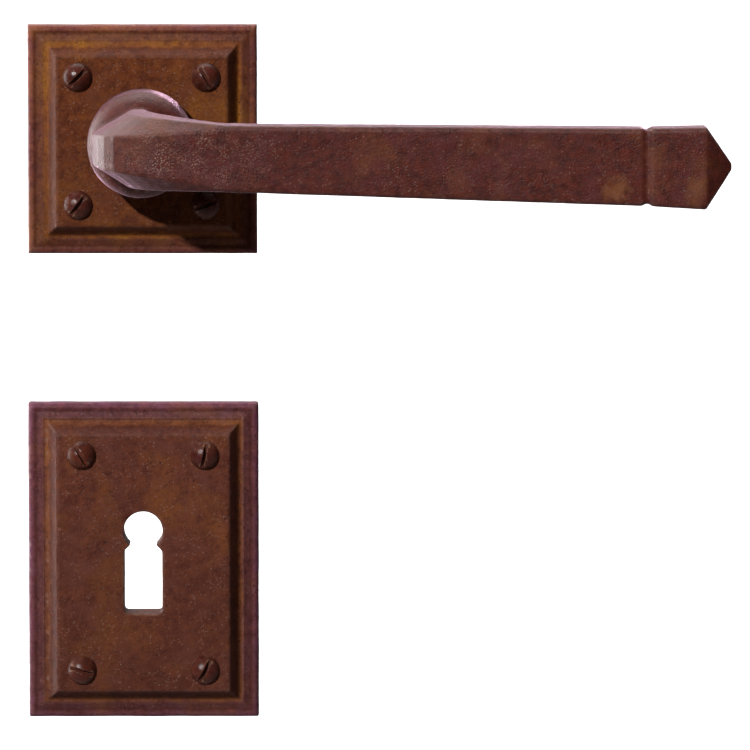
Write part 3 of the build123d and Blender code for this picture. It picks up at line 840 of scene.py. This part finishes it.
# %% Group: rust patina
tree, given, result = new_group("Rust patina", {
    "Dark": (0.04, 0.013, 0.01), "Brown": (0.08, 0.026, 0.014), "Ochre": (0.14, 0.05, 0.014),
    "Violet": (0.07, 0.03, 0.033), "Bloom": 0.4, "Patch": 14 * MM}, ["Color", "Blooms"])
mottle = ranged(tree, noise(tree, 2.0 * MM, detail=6, roughness=0.75), 0.38, 0.62)
base = mixed(tree, mottle, given["Dark"], given["Brown"])
haze = ranged(tree, noise(tree, 6 * MM, detail=3, distortion=0.6), 0.48, 0.68)
base = mixed(tree, times(tree, haze, 0.7), base, given["Violet"])
broad = noise(tree, given["Patch"], detail=4, distortion=0.4)
blooms = ranged(tree, sums(tree, "ADD", broad, times(tree, given["Bloom"], 0.3)), 0.56, 0.74)
speck = ranged(tree, noise(tree, 0.7 * MM, detail=3), 0.4, 0.62)
blooms = times(tree, blooms, ranged(tree, speck, 0, 1, 0.45, 1.0))
link(mixed(tree, blooms, base, given["Ochre"]), result["Color"])
link(blooms, result["Blooms"])

# %% [markdown]
# ### Worn edges and pale flecks
#
# Hands polish the ridges. Geometry's Pointiness tells a ridge from a hollow on a dense mesh, and a
# noise breaks the line so that the wear isn't a drawn outline. The flecks are crumbs of bare,
# brighter metal: small cells, of which only a few are let through.

# %% Groups: worn edges, pale flecks
tree, given, result = new_group("Worn edges", {"Start": 0.508, "Full": 0.56}, ["Ridges", "Hollows"])
point = add(tree, "NewGeometry").outputs["Pointiness"]
broken = ranged(tree, noise(tree, 1.6 * MM, detail=4), 0.35, 0.6)
ridge = add(tree, "MapRange", {"Value": point, "From Min": given["Start"], "From Max": given["Full"]})
link(times(tree, ridge.outputs[0], broken), result["Ridges"])
link(ranged(tree, point, 0.485, 0.43), result["Hollows"])

tree, given, result = new_group("Pale flecks", {"Size": 0.5 * MM, "Share": 0.12}, ["Flecks"])
crumbs = scattered(tree, given["Size"])
lucky = sums(tree, "GREATER_THAN", given["Share"], crumbs.outputs["Color"])
inside = ranged(tree, crumbs.outputs["Distance"], 0.5, 0.15)
patchy = ranged(tree, noise(tree, 4 * MM), 0.4, 0.65, 0.15, 1.0)
link(times(tree, times(tree, lucky, inside), patchy),
               result["Flecks"])

# %% [markdown]
# ### Along the moulding
#
# On the plates the colour follows the moulding. The rounded outer edge gets a violet-white painted
# reflection, and the shallow step inside it a line of painted shade. The ledge is more violet. A bright
# ochre line at the groove is partly ochre and partly a painted highlight where the groove's edge catches
# the light, and the bevel is darker and more orange-brown. This group says how far in from the plate's
# edge a point is, from 0 at the edge to 1 at ten millimetres, with a little wander. A colour ramp in each
# plate's material then tints the patina along it.

# %% Group: inset from the edge
tree, given, result = new_group("Inset", {"Half width": 27 * MM, "Half height": 27 * MM,
                                          "Middle": 0.0}, ["Inset"])
spot = along_axes(tree)
from_side = sums(tree, "SUBTRACT", given["Half width"], sums(tree, "ABSOLUTE", spot["X"]))
height = sums(tree, "ABSOLUTE", sums(tree, "SUBTRACT", spot["Z"], given["Middle"]))
nearest = sums(tree, "MINIMUM", from_side, sums(tree, "SUBTRACT", given["Half height"], height))
wander = ranged(tree, noise(tree, 3 * MM, detail=3), 0.3, 0.7, -0.25 * MM, 0.25 * MM)
link(sums(tree, "DIVIDE", sums(tree, "ADD", nearest, wander), 10 * MM), result["Inset"])

# %% [markdown]
# ### Waxed iron
#
# The shader's own settings make the wax: a soft gloss, and a violet-white sheen that only shows where the
# eye grazes the surface, as on the sides of the neck. Over the patina come, in turn, patches of fresher
# rust, the tints along the moulding (some of them painted reflection, shade and highlight), dark wax in
# pits and hollows, bare metal on ridges and in flecks, and pale glints painted on the lever's bend where
# the key lamp's highlight falls.

# %% The waxed iron material
def new_material(name):
    """An empty material, its tree and its shader."""
    made = bpy.data.materials.new(name)
    made.use_nodes = True
    return made, made.node_tree, made.node_tree.nodes["Principled BSDF"]


def relief(tree, shader, height, distance):
    """Makes a height show as relief."""
    bumps = add(tree, "Bump", {"Height": height, "Distance": distance, "Strength": 1.0})
    link(bumps.outputs["Normal"], shader.inputs["Normal"])


def around(tree, centre, reach):
    """How far a point is from a place, where 1 is the edge of an egg that reaches this far."""
    near = add(tree, "Mapping", {"Vector": here(tree), "Location": centre,
                                 "Scale": reach}, vector_type="TEXTURE")
    return add(tree, "VectorMath", {0: near.outputs[0]}, operation="LENGTH").outputs["Value"]


pit_wax, hollow_wax = (0.012, 0.004, 0.003), (0.02, 0.007, 0.004)
foot_brown = (0.035, 0.01, 0.006)
violet_sheen = (0.92, 0.58, 0.76)


def waxed_iron(name, patina, grain=0.45 * MM, flecks=0.1, bump=0.07 * MM, bare_and_glint_colour=(0.2, 0.12, 0.1),
               gloss=0.45, sheen=0.6, shine=0.3, moulding=None, rust_spots=(), painted_glints=None):
    """Cast iron under brown wax."""
    material, tree, shader = new_material(name)
    skin = place_group(tree, "Cast grain", Grain=grain)
    colour = place_group(tree, "Rust patina", **patina)
    wear = place_group(tree, "Worn edges")
    fleck = place_group(tree, "Pale flecks", Share=flecks)["Flecks"]
    body = colour["Color"]
    for centre, reach, tint in rust_spots:    # a patch of fresher rust at a known place
        ragged = sums(tree, "ADD", around(tree, centre, reach),
                      ranged(tree, noise(tree, 3 * MM, detail=5), 0.3, 0.7, -0.5, 0.5))
        body = mixed(tree, ranged(tree, ragged, 1.0, 0.35, 0, 0.8), body, tint)
    if moulding:
        # the moulding's tints, partly painted reflection, painted shade and a painted highlight
        inset = place_group(tree, "Inset", **moulding["place"])["Inset"]
        ramp = add(tree, "ValToRGB", {"Fac": inset})
        stops = ramp.color_ramp.elements
        for number, (where, tint) in enumerate(moulding["tints"]):
            stop = stops[number] if number < 2 else stops.new(where)
            stop.position, stop.color = where, (*tint, 1)
        body = mixed(tree, 1.0, body, ramp.outputs["Color"], "MULTIPLY")
        # a plate is darker towards its foot
        low, high = moulding["place"]["Middle"] - 30 * MM, moulding["place"]["Middle"] + 30 * MM
        spot = along_axes(tree)
        height = ranged(tree, spot["Z"], low, high, 0.35, 0.0)
        ragged = sums(tree, "ADD", height, ranged(tree, noise(tree, 12 * MM), 0.3, 0.7, -0.1, 0.1))
        body = mixed(tree, ragged, body, foot_brown)
    body = mixed(tree, times(tree, skin["Pits"], 0.6), body, pit_wax)
    body = mixed(tree, times(tree, wear["Hollows"], 0.5), body, hollow_wax)
    wear_and_painted_glints = sums(tree, "MAXIMUM", times(tree, wear["Ridges"], 0.5),
                  times(tree, fleck, 0.55))
    # Painted highlight: pale metal crumbs strewn where the key lamp's glints fall on the lever's bend
    if painted_glints:    # painted glints where the key lamp's highlight falls on the bend
        crumbs = place_group(tree, "Pale flecks", Size=0.45 * MM, Share=0.8)["Flecks"]
        painted_glint_zone = ranged(tree, around(tree, *painted_glints), 1.0, 0.4)
        wear_and_painted_glints = sums(tree, "MAXIMUM", wear_and_painted_glints, times(tree, crumbs, painted_glint_zone))
    body = mixed(tree, wear_and_painted_glints, body, bare_and_glint_colour)
    link(body, shader.inputs["Base Color"])
    dull = ranged(tree, noise(tree, 1.8 * MM, detail=4), 0.3, 0.7, gloss - 0.09, gloss + 0.12)
    dull = sums(tree, "ADD", dull, times(tree, colour["Blooms"], 0.12))
    link(dull, shader.inputs["Roughness"])
    link(times(tree, wear_and_painted_glints, 0.5), shader.inputs["Metallic"])
    for label, value in (("Specular IOR Level", shine), ("Sheen Weight", sheen),
                         ("Sheen Roughness", 0.21), ("Sheen Tint", (*violet_sheen, 1))):
        shader.inputs[label].default_value = value
    relief(tree, shader, skin["Height"], bump)
    return material


lever_iron = waxed_iron(
    "lever_waxed_iron",
    patina={"Dark": (0.036, 0.006, 0.0045), "Brown": (0.08, 0.014, 0.008), "Ochre": (0.12, 0.034, 0.011),
            "Violet": (0.07, 0.015, 0.015), "Bloom": 0.0},
    grain=0.36 * MM, bump=0.15 * MM, flecks=0.2, gloss=0.36, sheen=1.0, shine=0.18,
    # a painted highlight: pale glints on the bend, where the key lamp's highlight falls
    painted_glints=((12 * MM, -48 * MM, -1 * MM), (22 * MM, 9 * MM, 9 * MM)),
    rust_spots=[((109 * MM, -48 * MM, -8 * MM), (4 * MM, 5 * MM, 4 * MM), (0.14, 0.048, 0.016)),
                ((128 * MM, -48 * MM, -8 * MM), (3 * MM, 5 * MM, 5 * MM), (0.12, 0.04, 0.015))])

# Tints by inset: a violet-white painted reflection on the rounded edge (0 to 0.11), painted shade at the
# shallow step (0.2), a more violet ledge, a bright ochre line at the groove that is partly a painted
# highlight (0.42, 0.49), and a darker, more orange-brown bevel
moulding_tints_and_painted_light = [
    (0.0, (1.4, 1.35, 4.2)), (0.11, (1.2, 1.15, 2.6)), (0.2, (0.65, 0.6, 0.85)),
    (0.26, (1.0, 1.1, 2.0)), (0.36, (0.98, 1.05, 1.6)), (0.42, (1.6, 1.8, 1.4)), (0.49, (1.4, 1.5, 1.1)),
    (0.55, (0.75, 0.6, 0.45)), (0.66, (0.78, 0.65, 0.7)), (0.74, (0.95, 0.9, 0.85))]


def plate_iron(name, patina, low, high):
    """Waxed iron for one plate, tinted along its moulding."""
    place = {"Half_width": (high.x - low.x) / 2, "Half_height": (high.z - low.z) / 2,
             "Middle": (high.z + low.z) / 2}
    return waxed_iron(name, patina, bump=0.15 * MM, flecks=0.22, gloss=0.42, sheen=0.02, shine=0.08,
                      moulding={"place": place, "tints": moulding_tints_and_painted_light})


rose_iron = plate_iron("rose_waxed_iron", {
    "Dark": (0.062, 0.014, 0.005), "Brown": (0.135, 0.038, 0.01), "Ochre": (0.18, 0.062, 0.009),
    "Violet": (0.11, 0.032, 0.014), "Bloom": 0.3}, rose_low, rose_high)
keyplate_iron = plate_iron("escutcheon_waxed_iron", {
    "Dark": (0.058, 0.015, 0.01), "Brown": (0.11, 0.032, 0.017), "Ochre": (0.14, 0.045, 0.012),
    "Violet": (0.1, 0.032, 0.024), "Bloom": 0.1}, plate_low, plate_high)
screw_iron = waxed_iron(
    "screw_waxed_iron",
    patina={"Dark": (0.028, 0.004, 0.003), "Brown": (0.065, 0.011, 0.006), "Ochre": (0.1, 0.024, 0.008),
            "Violet": (0.05, 0.009, 0.009), "Bloom": 0.1},
    grain=0.35 * MM, flecks=0.04, bump=0.06 * MM, gloss=0.27, sheen=0.0, shine=0.2, bare_and_glint_colour=(0.3, 0.17, 0.1))
print("waxed iron mixed for the lever, the plates and the screws")

# %% [markdown]
# ### The parts behind the rose
#
# Nothing behind the rose is waxed. The spindle is drawn, so fine lines run along it. The bush, the
# washers and the collar are turned, so theirs run round them. The spring is blued and oily, and the
# cover is zinc-plated sheet with its spangle. One group makes the lines and the stains, and a
# second the spangle's flakes.

# %% Groups: tool lines, zinc spangle
tree, given, result = new_group("Tool lines", {
    "Light": (0.5, 0.5, 0.5), "Dark": (0.35, 0.35, 0.35), "Stain": (0.2, 0.15, 0.1), "Line": 0.2 * MM,
    "Turned": 0.0, "Stained": 0.5, "Dull": 0.35}, ["Color", "Roughness", "Height"])
spot = along_axes(tree)
round_axis = sums(tree, "SQRT", sums(tree, "ADD", times(tree, spot["X"], spot["X"]),
                                     times(tree, spot["Z"], spot["Z"])))
drawn = add(tree, "CombineXYZ", {"X": spot["X"], "Y": times(tree, spot["Y"], 0.02),
                                 "Z": spot["Z"]})
turned_by = add(tree, "CombineXYZ", {"X": round_axis, "Y": spot["Y"], "Z": 0.0})
along = tree.nodes.new("ShaderNodeMix")
along.data_type = "VECTOR"
for socket, value in ((0, given["Turned"]), (4, drawn.outputs[0]), (5, turned_by.outputs[0])):
    link(value, along.inputs[socket])
lines = noise(tree, given["Line"], detail=3, place=along.outputs[1])
stains = times(tree, ranged(tree, noise(tree, 5 * MM, detail=5), 0.48, 0.66), given["Stained"])
base = mixed(tree, ranged(tree, lines, 0.35, 0.65), given["Dark"], given["Light"])
link(mixed(tree, stains, base, given["Stain"]), result["Color"])
rough = sums(tree, "ADD", given["Dull"], ranged(tree, lines, 0.3, 0.7, -0.06, 0.08))
link(sums(tree, "ADD", rough, times(tree, stains, 0.2)), result["Roughness"])
link(lines, result["Height"])

tree, given, result = new_group("Zinc spangle", {"Flake": 5 * MM}, ["Color", "Roughness", "Height"])
flakes = scattered(tree, given["Flake"])
shade = add(tree, "SeparateColor", {0: flakes.outputs["Color"]}).outputs[0]
frost = sums(tree, "ADD", shade, ranged(tree, noise(tree, 0.8 * MM, detail=4), 0.3, 0.7, -0.2, 0.2))
link(mixed(tree, frost, (0.42, 0.44, 0.45), (0.66, 0.67, 0.66)), result["Color"])
link(ranged(tree, frost, 0, 1, 0.3, 0.48), result["Roughness"])
link(frost, result["Height"])


# %% Bare metals for the machined parts
def bare_metal(name, group, bump=0.01 * MM, metal=1.0, **values):
    """A metal with no wax on it."""
    material, tree, shader = new_material(name)
    skin = place_group(tree, group, **values)
    link(skin["Color"], shader.inputs["Base Color"])
    link(skin["Roughness"], shader.inputs["Roughness"])
    shader.inputs["Metallic"].default_value = metal
    relief(tree, shader, skin["Height"], bump)
    return material


lines = "Tool lines"
zinc = bare_metal("zinc_sheet", "Zinc spangle", 0.02 * MM)
brass = bare_metal("turned_brass", lines, Light=(0.62, 0.42, 0.15), Dark=(0.46, 0.29, 0.09),
                   Stain=(0.2, 0.11, 0.04), Turned=1.0, Stained=0.6, Dull=0.28)
oiled = bare_metal("oiled_spring_steel", lines, 0.006 * MM, Light=(0.2, 0.21, 0.24),
                   Dark=(0.11, 0.115, 0.14), Stain=(0.09, 0.06, 0.035), Dull=0.25)
pin = bare_metal("ground_pin_steel", lines, Light=(0.55, 0.55, 0.56), Dark=(0.4, 0.4, 0.42), Turned=1.0,
                 Stained=0.3, Dull=0.22)
collar = bare_metal("machined_collar_steel", lines, Light=(0.42, 0.42, 0.43), Dark=(0.28, 0.28, 0.29),
                    Turned=1.0, Line=0.35 * MM)
drawn_steel = bare_metal("drawn_spindle_steel", lines, 0.015 * MM, Light=(0.52, 0.52, 0.52),
                         Dark=(0.34, 0.34, 0.35), Stain=(0.22, 0.17, 0.13), Stained=0.45, Dull=0.34)
black_oxide = bare_metal("black_oxide", lines, Light=(0.06, 0.06, 0.065), Dark=(0.03, 0.03, 0.033),
                         Stain=(0.07, 0.045, 0.03), Turned=1.0, Dull=0.42, metal=0.6)
finishes = {
    "neck_bush": brass, "thrust_washer": brass, "stop_pins": pin, "drive_pin": pin, "spring_cover": zinc,
    "cover_screws": zinc, "return_spring": oiled, "wave_washer": oiled, "retaining_ring": oiled,
    "drive_collar": collar, "spindle": drawn_steel, "spindle_grub_screw": black_oxide}
for node, finish in finishes.items():
    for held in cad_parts[node].material_slots:
        held.link, held.material = "OBJECT", finish
print(len(finishes), "parts behind the rose have their metals")

# %% [markdown]
# ## In their places
#
# A casting or a screw stands for a solid of the frame, which is then hidden. It rides on the
# body that the solid belongs to, so it moves as the solid does.

# %% Put the castings in the frame
def hand_over(piece, body, node, material):
    """Gives a finished piece its material and its body, and hides the node that it stands for."""
    piece.data.materials.clear()
    piece.data.materials.append(material)
    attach(piece, body)
    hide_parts(node)


hand_over(lever, "lever", "lever_handle", lever_iron)
hand_over(rose, "door_side", "rose_plate", rose_iron)
hand_over(keyplate, "door_side", "escutcheon_plate", keyplate_iron)
for node, group_of_screws in screws.items():
    for copy in group_of_screws:
        hand_over(copy, "door_side", node, screw_iron)
print("in their places: the lever, two plates and", sum(map(len, screws.values())), "screws")

# %% [markdown]
# ## The sheet's paint, and the sizes
#
# The sheet is white to the eye but lights the handle no more than a grey one, so the shadows stay deep.
# From behind it isn't there, so the back of the set can be looked at. Last, the size of the visual model
# is printed.

# %% Paint the sheet and print the sizes
sheet_paint, tree, shader = new_material("pale_sheet")
sheet_grey, sheet_white = (0.18, 0.17, 0.17), (0.95, 0.95, 0.95)
seen = add(tree, "LightPath").outputs["Is Camera Ray"]
link(mixed(tree, seen, sheet_grey, sheet_white), shader.inputs["Base Color"])
shader.inputs["Roughness"].default_value = 0.9
its_back = add(tree, "NewGeometry").outputs["Backfacing"]
see_through = add(tree, "MixShader", {0: its_back, 1: shader.outputs[0],
                                      2: add(tree, "BsdfTransparent").outputs[0]})
link(see_through.outputs[0], tree.nodes["Material Output"].inputs["Surface"])
sheet.data.materials.append(sheet_paint)
low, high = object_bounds()
print("the visual model measures", [round(v / MM, 2) for v in high - low], "mm")
